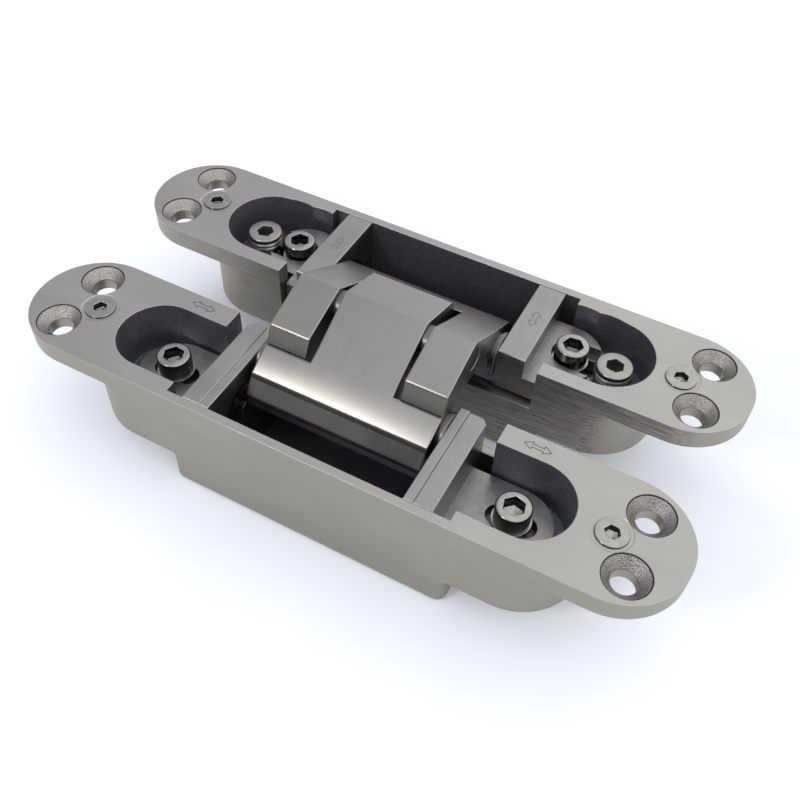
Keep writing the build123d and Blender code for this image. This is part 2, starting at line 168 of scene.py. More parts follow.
# Mouth and drill point of a hex socket: depth in millimetres, the rest as shares of it or the width
HEX_MOUTH = 0.3
HEX_FLARE = 1.2
HEX_POINT_SHARE = 0.15
HEX_POINT_END = 0.25

# Places of the screws in millimetres, each with its turn in degrees
FRONT_CLAMP_PLACES = ((-45.95, -HALF_PITCH, 21.35, 24), (45.95, -HALF_PITCH, 21.35, 14))
REAR_CLAMP_PLACES = ((-40.2, HALF_PITCH, 24.3, 30), (40.2, HALF_PITCH, 24.3, 38))
FRONT_FLUSH_PLACES = ((-PLATE_SCREW_X, -HALF_PITCH, FACE_HEIGHT, -22),
                      (PLATE_SCREW_X, -HALF_PITCH, FACE_HEIGHT, 28))
REAR_FLUSH_PLACES = ((-PLATE_SCREW_X, HALF_PITCH, FACE_HEIGHT, 12),
                     (PLATE_SCREW_X, HALF_PITCH, FACE_HEIGHT, 62))
SPINDLE_TURN = 12

# Modelling: play of a place in millimetres, normal of a level face, and angle of smooth shading
PLACE_PLAY = 0.01
LEVEL_SLOPE = 0.99
SMOOTH_ANGLE = math.radians(35)


def linear(hex_colour):
    """sRGB hex to linear colour"""
    channels = []
    for start in (1, 3, 5):
        value = int(hex_colour[start:start + 2], 16) / 255
        channels.append(value / 12.92 if value <= 0.04045 else ((value + 0.055) / 1.055) ** 2.4)
    return (*channels, 1.0)


def add(tree, kind, inputs=None, **settings):
    """one node with its settings, fixed inputs and incoming links"""
    node = tree.nodes.new(kind)
    for name, value in settings.items():
        setattr(node, name, value)
    for key, value in (inputs or {}).items():
        if isinstance(value, bpy.types.NodeSocket):
            tree.links.new(value, node.inputs[key])
        else:
            node.inputs[key].default_value = value
    return node


def new_material(name):
    """empty material and its node tree"""
    material = bpy.data.materials.new(name)
    material.use_nodes = True
    material.node_tree.nodes.clear()
    return material, material.node_tree


def grain_pattern(tree, cell_mm, detail):
    """random streaks or flecks between 0 and 1, one cell as large as cell_mm along x, y and z"""
    place = add(tree, "ShaderNodeTexCoord").outputs["Object"]
    scale = [1 / (size * MM) for size in cell_mm]
    sized = add(tree, "ShaderNodeMapping", {"Vector": place, "Scale": scale}).outputs["Vector"]
    noise = {"Vector": sized, "Scale": 1.0, "Detail": detail, "Roughness": NOISE_ROUGHNESS}
    fleck = add(tree, "ShaderNodeTexNoise", noise).outputs["Fac"]
    spread = {"Value": fleck, "From Min": NOISE_LOW, "From Max": NOISE_HIGH}
    return add(tree, "ShaderNodeMapRange", spread).outputs[0]


def edge_wear_and_highlight(tree, radius_mm):
    """rounded normal, and a mask that is 1 on a sharp edge, where handling has rubbed it and where a
    highlight is painted
    """
    soft = add(tree, "ShaderNodeBevel", {"Radius": radius_mm * MM}, samples=EDGE_SAMPLES).outputs["Normal"]
    flat = add(tree, "ShaderNodeNewGeometry").outputs["Normal"]
    likeness = add(tree, "ShaderNodeVectorMath", {0: soft, 1: flat}, operation="DOT_PRODUCT")
    rubbed_and_highlit = {"Value": likeness.outputs["Value"], "From Min": RUB_AND_HIGHLIGHT_START, "From Max": RUB_AND_HIGHLIGHT_FULL}
    return soft, add(tree, "ShaderNodeMapRange", rubbed_and_highlit).outputs[0]


def hollow_mask(tree):
    """1 on the walls and floors inside a body, 0 on its faces and outer sides"""
    place = add(tree, "ShaderNodeSeparateXYZ", {0: add(tree, "ShaderNodeTexCoord").outputs["Object"]})
    along = add(tree, "ShaderNodeMath", {0: place.outputs["X"]}, operation="ABSOLUTE").outputs[0]
    across = add(tree, "ShaderNodeMath", {0: place.outputs["Y"]}, operation="ABSOLUTE").outputs[0]
    past_end = add(tree, "ShaderNodeMath", {0: along, 1: END_CENTRE_X * MM}, operation="SUBTRACT",
                   use_clamp=True).outputs[0]
    off_centre = add(tree, "ShaderNodeMath", {0: across, 1: HALF_PITCH * MM},
                     operation="SUBTRACT").outputs[0]
    flat = add(tree, "ShaderNodeCombineXYZ", {0: past_end, 1: off_centre}).outputs[0]
    reach = add(tree, "ShaderNodeVectorMath", {0: flat}, operation="LENGTH").outputs["Value"]
    within = add(tree, "ShaderNodeMath", {0: reach, 1: WALL_INNER_REACH * MM},
                 operation="LESS_THAN").outputs[0]
    shallow = add(tree, "ShaderNodeMath", {0: along, 1: MIDDLE_HALF * MM},
                  operation="GREATER_THAN").outputs[0]
    bottom = add(tree, "ShaderNodeMath", {0: shallow, 1: END_BOTTOM * MM, 2: BOTTOM_SKIN * MM},
                 operation="MULTIPLY_ADD").outputs[0]
    above = add(tree, "ShaderNodeMath", {0: place.outputs["Z"], 1: bottom},
                operation="GREATER_THAN").outputs[0]
    below = add(tree, "ShaderNodeMath", {0: place.outputs["Z"], 1: (FACE_HEIGHT - HOLLOW_DROP) * MM},
                operation="LESS_THAN").outputs[0]
    inside = add(tree, "ShaderNodeMath", {0: within, 1: above}, operation="MULTIPLY").outputs[0]
    return add(tree, "ShaderNodeMath", {0: inside, 1: below}, operation="MULTIPLY").outputs[0]


def countersink_mask(tree):
    """1 on the cones of the screw holes, the only faces of a body that slope upwards"""
    way = add(tree, "ShaderNodeSeparateXYZ", {0: add(tree, "ShaderNodeTexCoord").outputs["Normal"]})
    return add(tree, "ShaderNodeMath", {0: way.outputs["Z"], 1: CONE_SLOPE, 2: CONE_SLOPE_PLAY},
               operation="COMPARE").outputs[0]


def cone_rim_mask(tree, cones):
    """1 on the narrow dark line at the mouth of each cone"""
    place = add(tree, "ShaderNodeSeparateXYZ", {0: add(tree, "ShaderNodeTexCoord").outputs["Object"]})
    near = add(tree, "ShaderNodeMath", {0: place.outputs["Z"], 1: (FACE_HEIGHT - CONE_RIM_DEPTH) * MM},
               operation="GREATER_THAN").outputs[0]
    return add(tree, "ShaderNodeMath", {0: near, 1: cones}, operation="MULTIPLY").outputs[0]


def inner_side_mask(tree):
    """1 on the two sides that face each other across the gap, fading out round the ends and
    fainter on the left"""
    left_share = 0.35
    coordinates = add(tree, "ShaderNodeTexCoord")
    place = add(tree, "ShaderNodeSeparateXYZ", {0: coordinates.outputs["Object"]})
    way = add(tree, "ShaderNodeSeparateXYZ", {0: coordinates.outputs["Normal"]})
    across = add(tree, "ShaderNodeMath", {0: place.outputs["Y"]}, operation="ABSOLUTE").outputs[0]
    fade = {"Value": across, "From Min": (INNER_SIDE_Y + SCORE_END) * MM,
            "From Max": (INNER_SIDE_Y + SCORE_FULL) * MM}
    near = add(tree, "ShaderNodeMapRange", fade, interpolation_type="SMOOTHSTEP").outputs[0]
    upright = add(tree, "ShaderNodeMath", {0: way.outputs["Z"], 1: 0.0, 2: UPRIGHT_PLAY},
                  operation="COMPARE").outputs[0]
    growth = {"Value": place.outputs["X"], "From Min": -SCORE_EVEN_X * MM, "From Max": SCORE_EVEN_X * MM,
              "To Min": left_share, "To Max": 1.0}
    worn = add(tree, "ShaderNodeMapRange", growth).outputs[0]
    worn = add(tree, "ShaderNodeMath", {0: worn, 1: upright}, operation="MULTIPLY").outputs[0]
    return add(tree, "ShaderNodeMath", {0: near, 1: worn}, operation="MULTIPLY").outputs[0]


def worked_metal(name, light, dark, edge, roughness, grain_mm, grain_depth_mm, cloud_mm, edge_round_mm):
    """metal with tool grain, cloudy patches and rubbed edges that are also lightened as a painted highlight:
    its material, tree, colour, roughness, height and soft normal"""
    material, tree = new_material(name)
    soft, edges = edge_wear_and_highlight(tree, edge_round_mm)
    grain = grain_pattern(tree, grain_mm, detail=4.0)
    cloud = grain_pattern(tree, (cloud_mm,) * 3, detail=2.0)
    tone = add(tree, "ShaderNodeMath", {0: grain, 1: GRAIN_TONE}, operation="MULTIPLY").outputs[0]
    tone = add(tree, "ShaderNodeMath", {0: cloud, 1: CLOUD_TONE, 2: tone},
               operation="MULTIPLY_ADD").outputs[0]
    colour = add(tree, "ShaderNodeMix", {SHARE: tone, FROM: linear(dark), TO: linear(light)},
                 data_type="RGBA").outputs[MIXED]
    # Edges take a lighter colour: partly rubbed wear, partly a painted highlight
    colour = add(tree, "ShaderNodeMix", {SHARE: edges, FROM: colour, TO: linear(edge)},
                 data_type="RGBA").outputs[MIXED]
    rough = add(tree, "ShaderNodeMath", {0: grain, 1: GRAIN_ROUGHNESS, 2: roughness - ROUGHNESS_DROP},
                operation="MULTIPLY_ADD").outputs[0]
    rough = add(tree, "ShaderNodeMath", {0: cloud, 1: CLOUD_ROUGHNESS, 2: rough},
                operation="MULTIPLY_ADD").outputs[0]
    height = add(tree, "ShaderNodeMath", {0: grain, 1: grain_depth_mm}, operation="MULTIPLY").outputs[0]
    return material, tree, colour, rough, height, soft


def metal_surface(tree, colour, rough, height, soft, metal=1.0):
    """metal shader on the finished colour, roughness and height"""
    bump = add(tree, "ShaderNodeBump", {"Strength": 1.0, "Distance": MM, "Height": height, "Normal": soft})
    shader = add(tree, "ShaderNodeBsdfPrincipled", {"Metallic": metal, "Base Color": colour,
                                                    "Roughness": rough, "Normal": bump.outputs["Normal"]})
    add(tree, "ShaderNodeOutputMaterial", {"Surface": shader.outputs["BSDF"]})


def satin_nickel_housing():
    """zinc casting, ground along its length, satin blasted and nickel plated: grey with faint lines and
    smudges on the face, coarse bright scratches on the sides across the gap, a rougher, less metallic cast
    skin in the hollows painted dark bluish grey as shade, lumpy cones with a dark line at the mouth. Ground
    lines and blast pits are finer on the real one and are drawn coarse enough to show."""
    pit_depth_mm = 0.010
    score_depth_mm = 0.03
    lump_depth_mm = 0.08
    smudge_share = 0.35
    hollow_roughness = 0.08
    hollow_metal_change = -0.13
    material, tree, colour, rough, height, soft = worked_metal(
        "satin_nickel_housing", light="#aaa8a3", dark="#9c9a94", edge="#c8c5bf", roughness=0.38,
        grain_mm=(8.0, 0.18, 0.18), grain_depth_mm=0.008, cloud_mm=24.0, edge_round_mm=0.3)
    pits = grain_pattern(tree, (0.55,) * 3, detail=3.0)
    height = add(tree, "ShaderNodeMath", {0: pits, 1: pit_depth_mm, 2: height},
                 operation="MULTIPLY_ADD").outputs[0]
    smudges = grain_pattern(tree, (26.0, 12.0, 12.0), detail=3.0)
    smudge = add(tree, "ShaderNodeMath", {0: smudges, 1: smudge_share}, operation="MULTIPLY").outputs[0]
    colour = add(tree, "ShaderNodeMix", {SHARE: smudge, FROM: colour, TO: linear("#8d8b86")},
                 data_type="RGBA").outputs[MIXED]

    sides = inner_side_mask(tree)
    scratches = grain_pattern(tree, (7.0, 0.3, 0.18), detail=5.0)
    scored = add(tree, "ShaderNodeMix", {SHARE: scratches, FROM: linear("#5a585c"), TO: linear("#bab7b2")},
                 data_type="RGBA").outputs[MIXED]
    colour = add(tree, "ShaderNodeMix", {SHARE: sides, FROM: colour, TO: scored},
                 data_type="RGBA").outputs[MIXED]
    score = add(tree, "ShaderNodeMath", {0: sides, 1: scratches}, operation="MULTIPLY").outputs[0]
    height = add(tree, "ShaderNodeMath", {0: score, 1: score_depth_mm, 2: height},
                 operation="MULTIPLY_ADD").outputs[0]

    # Painted shade: the hollows take a darker, bluer grey, on a cast skin that is rougher and less metallic
    hollow = hollow_mask(tree)
    shaded_cast_skin = add(tree, "ShaderNodeMix", {SHARE: pits, FROM: linear("#6a6c74"), TO: linear("#8a8b92")},
              data_type="RGBA").outputs[MIXED]
    colour = add(tree, "ShaderNodeMix", {SHARE: hollow, FROM: colour, TO: shaded_cast_skin},
                 data_type="RGBA").outputs[MIXED]
    rough = add(tree, "ShaderNodeMath", {0: hollow, 1: hollow_roughness, 2: rough},
                operation="MULTIPLY_ADD").outputs[0]
    metal = add(tree, "ShaderNodeMath", {0: hollow, 1: hollow_metal_change, 2: 1.0},
                operation="MULTIPLY_ADD").outputs[0]

    cones = countersink_mask(tree)
    lumps = grain_pattern(tree, (0.38,) * 3, detail=3.0)
    cast = add(tree, "ShaderNodeMix", {SHARE: lumps, FROM: linear("#7e7b78"), TO: linear("#aaa7a2")},
               data_type="RGBA").outputs[MIXED]
    colour = add(tree, "ShaderNodeMix", {SHARE: cones, FROM: colour, TO: cast},
                 data_type="RGBA").outputs[MIXED]
    rims = cone_rim_mask(tree, cones)
    colour = add(tree, "ShaderNodeMix", {SHARE: rims, FROM: colour, TO: linear("#3b3937")},
                 data_type="RGBA").outputs[MIXED]
    lump = add(tree, "ShaderNodeMath", {0: cones, 1: lumps}, operation="MULTIPLY").outputs[0]
    height = add(tree, "ShaderNodeMath", {0: lump, 1: lump_depth_mm, 2: height},
                 operation="MULTIPLY_ADD").outputs[0]
    metal_surface(tree, colour, rough, height, soft, metal)
    return material


def brushed_nickel_arm():
    """plated arm brushed across its top: warm grey with fine soft lines and rolled edges, and a slight crown
    at the front of the tee, so that the light runs bright along its edge and fades into the face"""
    material, tree, colour, rough, height, _ = worked_metal(
        "brushed_nickel_arm", light="#908e89", dark="#888681", edge="#c4c1ba", roughness=0.31,
        grain_mm=(0.09, 9.0, 9.0), grain_depth_mm=0.001, cloud_mm=16.0, edge_round_mm=0.25)
    place = add(tree, "ShaderNodeSeparateXYZ", {0: add(tree, "ShaderNodeTexCoord").outputs["Object"]})
    band = {"Value": place.outputs["Y"], "From Min": TEE_FRONT_Y * MM,
            "From Max": (TEE_FRONT_Y + CROWN_REACH) * MM, "To Min": CROWN_REACH, "To Max": 0.0}
    near = add(tree, "ShaderNodeMapRange", band).outputs[0]
    fall = add(tree, "ShaderNodeMath", {0: near, 1: 2.0}, operation="POWER").outputs[0]
    height = add(tree, "ShaderNodeMath", {0: fall, 1: -CROWN_FALL, 2: height},
                 operation="MULTIPLY_ADD").outputs[0]
    rolled = add(tree, "ShaderNodeBevel", {"Radius": ROLLED_EDGE_MM * MM},
                 samples=ROLLED_EDGE_SAMPLES).outputs["Normal"]
    metal_surface(tree, colour, rough, height, rolled)
    return material


def milled_nickel_carriage():
    """milled and plated carriage: neutral grey, shallow cutter lines along y and thin bright edges, with a
    brown stain of grease on all that lies below its top faces"""
    stain_share = 0.5
    stain_roughness = -0.08
    material, tree, colour, rough, height, soft = worked_metal(
        "milled_nickel_carriage", light="#9c9b98", dark="#868480", edge="#c4c2bf", roughness=0.36,
        grain_mm=(0.14, 6.0, 6.0), grain_depth_mm=0.005, cloud_mm=10.0, edge_round_mm=0.15)
    place = add(tree, "ShaderNodeSeparateXYZ", {0: add(tree, "ShaderNodeTexCoord").outputs["Object"]})
    sunk = add(tree, "ShaderNodeMath", {0: place.outputs["Z"], 1: (FACE_HEIGHT - FOOT_DROP) * MM},
               operation="LESS_THAN").outputs[0]
    grease = grain_pattern(tree, (1.8,) * 3, detail=5.0)
    grease = add(tree, "ShaderNodeMath", {0: grease, 1: stain_share}, operation="MULTIPLY").outputs[0]
    stain = add(tree, "ShaderNodeMath", {0: grease, 1: sunk}, operation="MULTIPLY").outputs[0]
    colour = add(tree, "ShaderNodeMix", {SHARE: stain, FROM: colour, TO: linear("#6d6764")},
                 data_type="RGBA").outputs[MIXED]
    rough = add(tree, "ShaderNodeMath", {0: stain, 1: stain_roughness, 2: rough},
                operation="MULTIPLY_ADD").outputs[0]
    metal_surface(tree, colour, rough, height, soft)
    return material


def nickel_plated_screw(name, shaded_side_dark, shaded_side_light, roughness):
    """cold-headed screw, hardened and plated: silver grey top rubbed by the key, rounded edges, and painted
    shade that darkens a face the less it looks upwards, so the hex reads as a dark well with a lighter
    bottom"""
    material, tree, colour, rough, height, soft = worked_metal(
        name, light="#a3a19b", dark="#8d8b86", edge="#e6e3da", roughness=roughness,
        grain_mm=(1.4, 1.4, 0.08), grain_depth_mm=0.001, cloud_mm=3.0, edge_round_mm=0.2)
    # Painted shade: sides and hex walls are darker the less they face upwards, mottled between two greys
    way = add(tree, "ShaderNodeSeparateXYZ", {0: add(tree, "ShaderNodeTexCoord").outputs["Normal"]})
    slope = {"Value": way.outputs["Z"], "From Min": SCREW_SIDE_SLOPE, "From Max": SCREW_TOP_SLOPE}
    upward = add(tree, "ShaderNodeMapRange", slope).outputs[0]
    stain = grain_pattern(tree, (0.7,) * 3, detail=3.0)
    skin = add(tree, "ShaderNodeMix", {SHARE: stain, FROM: linear(shaded_side_dark), TO: linear(shaded_side_light)},
               data_type="RGBA").outputs[MIXED]
    colour = add(tree, "ShaderNodeMix", {SHARE: upward, FROM: skin, TO: colour},
                 data_type="RGBA").outputs[MIXED]
    metal_surface(tree, colour, rough, height, soft)
    return material


def ground_pin_steel():
    """centreless ground pin, smooth with fine rings round it, its grey darkened as painted shade of the gaps
    it sits in
    """
    # Painted shade: the pin's light and dark greys are kept dark for the narrow gaps it stands in
    material, *surface = worked_metal(
        "ground_pin_steel", light="#747474", dark="#626262", edge="#b4b3b0", roughness=0.36,
        grain_mm=(0.09, 1.5, 1.5), grain_depth_mm=0.002, cloud_mm=5.0, edge_round_mm=0.2)
    metal_surface(*surface)
    return material


def black_acetal():
    """moulded bearing plastic, matt black with a fine skin"""
    skin_depth_mm = 0.004
    roughness_low = 0.42
    roughness_spread = 0.16
    material, tree = new_material("black_acetal")
    skin = grain_pattern(tree, (0.25,) * 3, detail=3.0)
    colour = add(tree, "ShaderNodeMix", {SHARE: skin, FROM: linear("#17181b"), TO: linear("#26272b")},
                 data_type="RGBA").outputs[MIXED]
    rough = add(tree, "ShaderNodeMath", {0: skin, 1: roughness_spread, 2: roughness_low},
                operation="MULTIPLY_ADD").outputs[0]
    bump = add(tree, "ShaderNodeBump", {"Strength": 1.0, "Distance": skin_depth_mm * MM, "Height": skin})
    shader = add(tree, "ShaderNodeBsdfPrincipled", {"IOR": 1.48, "Base Color": colour, "Roughness": rough,
                                                    "Normal": bump.outputs["Normal"]})
    add(tree, "ShaderNodeOutputMaterial", {"Surface": shader.outputs["BSDF"]})
    return material


def laser_oxide_mark(name, dark, light):
    """laser mark: oxide skin, dark grey and matt against the satin plate"""
    roughness_low = 0.55
    roughness_spread = 0.2
    material, tree = new_material(name)
    burn = grain_pattern(tree, (0.3,) * 3, detail=2.0)
    colour = add(tree, "ShaderNodeMix", {SHARE: burn, FROM: linear(dark), TO: linear(light)},
                 data_type="RGBA").outputs[MIXED]
    rough = add(tree, "ShaderNodeMath", {0: burn, 1: roughness_spread, 2: roughness_low},
                operation="MULTIPLY_ADD").outputs[0]
    shader = add(tree, "ShaderNodeBsdfPrincipled", {"Metallic": 0.6, "Base Color": colour,
                                                    "Roughness": rough})
    add(tree, "ShaderNodeOutputMaterial", {"Surface": shader.outputs["BSDF"]})
    return material


def table_board():
    """matt white board: shows white to the eye and warmer in the metal, and keeps the object's shadow"""
    material, tree = new_material("white_table_board")
    fleck = grain_pattern(tree, (60.0,) * 3, detail=2.0)
    rays = add(tree, "ShaderNodeLightPath")
    colour = add(tree, "ShaderNodeMix", {SHARE: fleck, FROM: linear("#e4e8ee"), TO: linear("#e9ecf1")},
                 data_type="RGBA").outputs[MIXED]
    colour = add(tree, "ShaderNodeMix", {SHARE: rays.outputs["Is Glossy Ray"], FROM: colour,
                                         TO: linear("#dfdedb")}, data_type="RGBA").outputs[MIXED]
    board = add(tree, "ShaderNodeBsdfDiffuse", {"Color": colour}).outputs["BSDF"]
    glow = add(tree, "ShaderNodeEmission", {"Color": linear("#ffffff"), "Strength": TABLE_GLOW})
    lit = add(tree, "ShaderNodeAddShader", {0: board, 1: glow.outputs["Emission"]}).outputs[0]
    seen = add(tree, "ShaderNodeMath", {0: rays.outputs["Is Glossy Ray"],
                                        1: rays.outputs["Is Transmission Ray"]},
               operation="MAXIMUM").outputs[0]
    seen = add(tree, "ShaderNodeMath", {0: rays.outputs["Is Camera Ray"], 1: seen},
               operation="MAXIMUM").outputs[0]
    surface = add(tree, "ShaderNodeMixShader", {0: seen, 1: board, 2: lit})
    add(tree, "ShaderNodeOutputMaterial", {"Surface": surface.outputs["Shader"]})
    return material


def make_camera():
    """camera at the photograph's place and angle"""
    data = bpy.data.cameras.new("camera")
    data.sensor_width = CAMERA_FILM_MM
    data.lens = CAMERA_LENS_MM
    data.clip_start = CAMERA_NEAR_M
    camera = bpy.data.objects.new("camera", data)
    bpy.context.collection.objects.link(camera)
    camera.location = [value * MM for value in CAMERA_PLACE_MM]
    camera.rotation_euler = [math.radians(value) for value in CAMERA_TURN_DEG]
    bpy.context.scene.camera = camera


def make_room():
    """pale room: cooler on the left, brighter on the right, dim low down in front, and white to the eye"""
    world = bpy.data.worlds.new("pale_room")
    world.use_nodes = True
    tree = world.node_tree
    tree.nodes.clear()
    way = add(tree, "ShaderNodeSeparateXYZ", {0: add(tree, "ShaderNodeTexCoord").outputs["Object"]})
    rightwards = {"Value": way.outputs["X"], "From Min": ROOM_LEFT_X, "From Max": ROOM_RIGHT_X,
                  "To Min": ROOM_LEFT_LEVEL, "To Max": ROOM_RIGHT_LEVEL}
    level = add(tree, "ShaderNodeMapRange", rightwards, interpolation_type="SMOOTHSTEP").outputs[0]
    backwards = {"Value": way.outputs["Y"], "From Min": ROOM_DIM_FRONT_Y, "From Max": ROOM_LIT_FRONT_Y,
                 "To Min": ROOM_DIM_FRONT_SHARE, "To Max": 1.0}
    front = add(tree, "ShaderNodeMapRange", backwards, interpolation_type="SMOOTHSTEP").outputs[0]
    strength = add(tree, "ShaderNodeMath", {0: level, 1: front}, operation="MULTIPLY").outputs[0]
    cool_to_neutral = {"Value": way.outputs["X"], "From Min": ROOM_LEFT_X, "From Max": ROOM_RIGHT_X}
    side = add(tree, "ShaderNodeMapRange", cool_to_neutral).outputs[0]
    tint = add(tree, "ShaderNodeMix", {SHARE: side, FROM: linear("#efeefa"), TO: linear("#f6f7f9")},
               data_type="RGBA").outputs[MIXED]
    room = add(tree, "ShaderNodeBackground", {"Color": tint, "Strength": strength})
    backdrop = add(tree, "ShaderNodeBackground", {"Color": linear("#ffffff"), "Strength": 1.0})
    seen = add(tree, "ShaderNodeLightPath").outputs["Is Camera Ray"]
    mix = add(tree, "ShaderNodeMixShader", {0: seen, 1: room.outputs[0], 2: backdrop.outputs[0]})
    add(tree, "ShaderNodeOutputWorld", {"Surface": mix.outputs[0]})
    bpy.context.scene.world = world


def make_lamp(name, place_mm, target_mm, size_mm, watts):
    """soft square lamp turned towards its target"""
    data = bpy.data.lights.new(name, "AREA")
    data.size = size_mm * MM
    data.energy = watts
    lamp = bpy.data.objects.new(name, data)
    bpy.context.collection.objects.link(lamp)
    place = Vector(place_mm) * MM
    lamp.location = place
    lamp.rotation_euler = (Vector(target_mm) * MM - place).to_track_quat("-Z", "Y").to_euler()


def make_table():
    """white table under the object"""
    bpy.ops.mesh.primitive_plane_add(size=TABLE_SIZE_M)
    table = bpy.context.active_object
    table.name = "table"
    table.data.materials.append(table_board())


def finished(piece, name, material, body):
    """gives the piece its name, material, body and slot, with its place in its mesh"""
    piece.name = name
    piece.data.name = name
    bpy.ops.object.transform_apply(location=True, rotation=True, scale=True)
    piece.data.materials.clear()
    piece.data.materials.append(material)
    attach(piece, body)


def select_edges_at(piece, x_mm):
    """selects only the edges that lie at this place along the arrow"""
    bpy.ops.mesh.select_all(action="DESELECT")
    bpy.ops.object.mode_set(mode="OBJECT")
    for edge in piece.data.edges:
        ends = [piece.data.vertices[i].co.x for i in edge.vertices]
        edge.select = all(abs(end - x_mm * MM) < PLACE_PLAY * MM for end in ends)
    bpy.ops.object.mode_set(mode="EDIT")


def select_faces_at(piece, height_mm):
    """selects only the flat faces that lie at this height"""
    bpy.ops.mesh.select_all(action="DESELECT")
    bpy.ops.object.mode_set(mode="OBJECT")
    for face in piece.data.polygons:
        level = abs(face.normal.z) > LEVEL_SLOPE
        face.select = level and abs(face.center.z - height_mm * MM) < PLACE_PLAY * MM
    bpy.ops.object.mode_set(mode="EDIT")


def arrow_mark(name, centre_mm, length_mm, width_mm, turn_deg, material, body):
    """hollow double-headed arrow: a thin raised outline on the face"""
    bpy.ops.object.select_all(action="DESELECT")
    head = length_mm * ARROW_HEAD_SHARE
    stem_half = length_mm / 2 - head
    stem_width = width_mm * ARROW_STEM_SHARE
    bpy.ops.mesh.primitive_plane_add(size=1.0)
    arrow = bpy.context.active_object
    arrow.scale = (2 * stem_half * MM, stem_width * MM, 1.0)
    bpy.ops.object.transform_apply(scale=True)
    bpy.ops.object.mode_set(mode="EDIT")
    bpy.context.tool_settings.mesh_select_mode = (False, True, False)
    for side in (-1, 1):
        shoulder = side * stem_half
        select_edges_at(arrow, shoulder)
        bpy.ops.mesh.extrude_region_move(TRANSFORM_OT_translate={"value": (side * ARROW_STEP * MM, 0, 0)})
        bpy.ops.transform.resize(value=(1, width_mm / stem_width, 1), center_override=(shoulder * MM, 0, 0))
        bpy.ops.mesh.extrude_region_move(TRANSFORM_OT_translate={"value": (side * head * MM, 0, 0)})
        bpy.ops.mesh.merge(type="CENTER")
    bpy.ops.mesh.select_all(action="SELECT")
    bpy.ops.mesh.normals_make_consistent(inside=False)
    bpy.context.tool_settings.mesh_select_mode = (False, False, True)
    bpy.ops.mesh.select_all(action="SELECT")
    bpy.ops.mesh.inset(thickness=MARK_LINE * MM, use_boundary=True)
    bpy.ops.mesh.delete(type="FACE")
    bpy.ops.mesh.select_all(action="SELECT")
    bpy.ops.mesh.extrude_region_move(TRANSFORM_OT_translate={"value": (0, 0, MARK_HEIGHT * MM)})
    bpy.ops.mesh.select_all(action="SELECT")
    bpy.ops.mesh.normals_make_consistent(inside=False)
    bpy.ops.object.mode_set(mode="OBJECT")
    arrow.location = [value * MM for value in centre_mm]
    arrow.rotation_euler[2] = math.radians(turn_deg)
    finished(arrow, name, material, body)


def thread_ridge(name, side, material, body):
    """helical ridge wound round the spindle's collar"""
    bpy.ops.object.select_all(action="DESELECT")
    turns = (COLLAR_TOP - COLLAR_LOW - THREAD_RUNOUT) / THREAD_PITCH
    start = (COLLAR_RADIUS * MM, 0, (COLLAR_LOW + THREAD_PITCH / 2) * MM)
    bpy.ops.mesh.primitive_circle_add(vertices=4, radius=THREAD_HALF_WIDTH * MM, location=start,
                                      rotation=(math.pi / 2, 0, 0))
    ridge = bpy.context.active_object
    ridge.scale = (THREAD_DEPTH / THREAD_HALF_WIDTH, 1, 1)
    bpy.ops.object.transform_apply(location=True, rotation=True, scale=True)
    helix = ridge.modifiers.new("helix", "SCREW")
    helix.angle = math.tau * turns
    helix.screw_offset = THREAD_PITCH * turns * MM
    helix.steps = int(THREAD_STEPS * turns)
    helix.render_steps = helix.steps
    bpy.ops.object.modifier_apply(modifier=helix.name)
    bpy.ops.object.mode_set(mode="EDIT")
    bpy.ops.mesh.select_all(action="SELECT")
    bpy.ops.mesh.fill_holes(sides=4)
    bpy.ops.mesh.normals_make_consistent(inside=False)
    bpy.ops.object.mode_set(mode="OBJECT")
    bpy.ops.object.shade_smooth_by_angle(angle=SMOOTH_ANGLE)
    ridge.location = (side * SPINDLE_X * MM, HALF_PITCH * MM, 0)
    finished(ridge, name, material, body)


def hex_key(width_mm, depth_mm, top_mm):
    """hexagonal cutter with a flared mouth and a drill point, the shape of a socket"""
    radius = width_mm / math.sqrt(3)
    bottom = top_mm - depth_mm
    length = depth_mm - HEX_MOUTH
    bpy.ops.object.select_all(action="DESELECT")
    bpy.ops.mesh.primitive_cylinder_add(vertices=6, radius=radius * MM, depth=length * MM,
                                        location=(0, 0, (bottom + length / 2) * MM))
    key = bpy.context.active_object
    bpy.ops.object.transform_apply(location=True)
    bpy.ops.object.mode_set(mode="EDIT")
    bpy.context.tool_settings.mesh_select_mode = (False, False, True)
    select_faces_at(key, top_mm - HEX_MOUTH)
    bpy.ops.mesh.extrude_region_move(TRANSFORM_OT_translate={"value": (0, 0, 2 * HEX_MOUTH * MM)})
    flare = 1 + HEX_FLARE * HEX_MOUTH / radius
    bpy.ops.transform.resize(value=(flare, flare, 1), center_override=(0, 0, 0))
    select_faces_at(key, bottom)
    point = -HEX_POINT_SHARE * width_mm * MM
    bpy.ops.mesh.extrude_region_move(TRANSFORM_OT_translate={"value": (0, 0, point)})
    bpy.ops.transform.resize(value=(HEX_POINT_END, HEX_POINT_END, 1), center_override=(0, 0, 0))
    bpy.ops.mesh.select_all(action="SELECT")
    bpy.ops.mesh.normals_make_consistent(inside=False)
    bpy.ops.object.mode_set(mode="OBJECT")
    return key


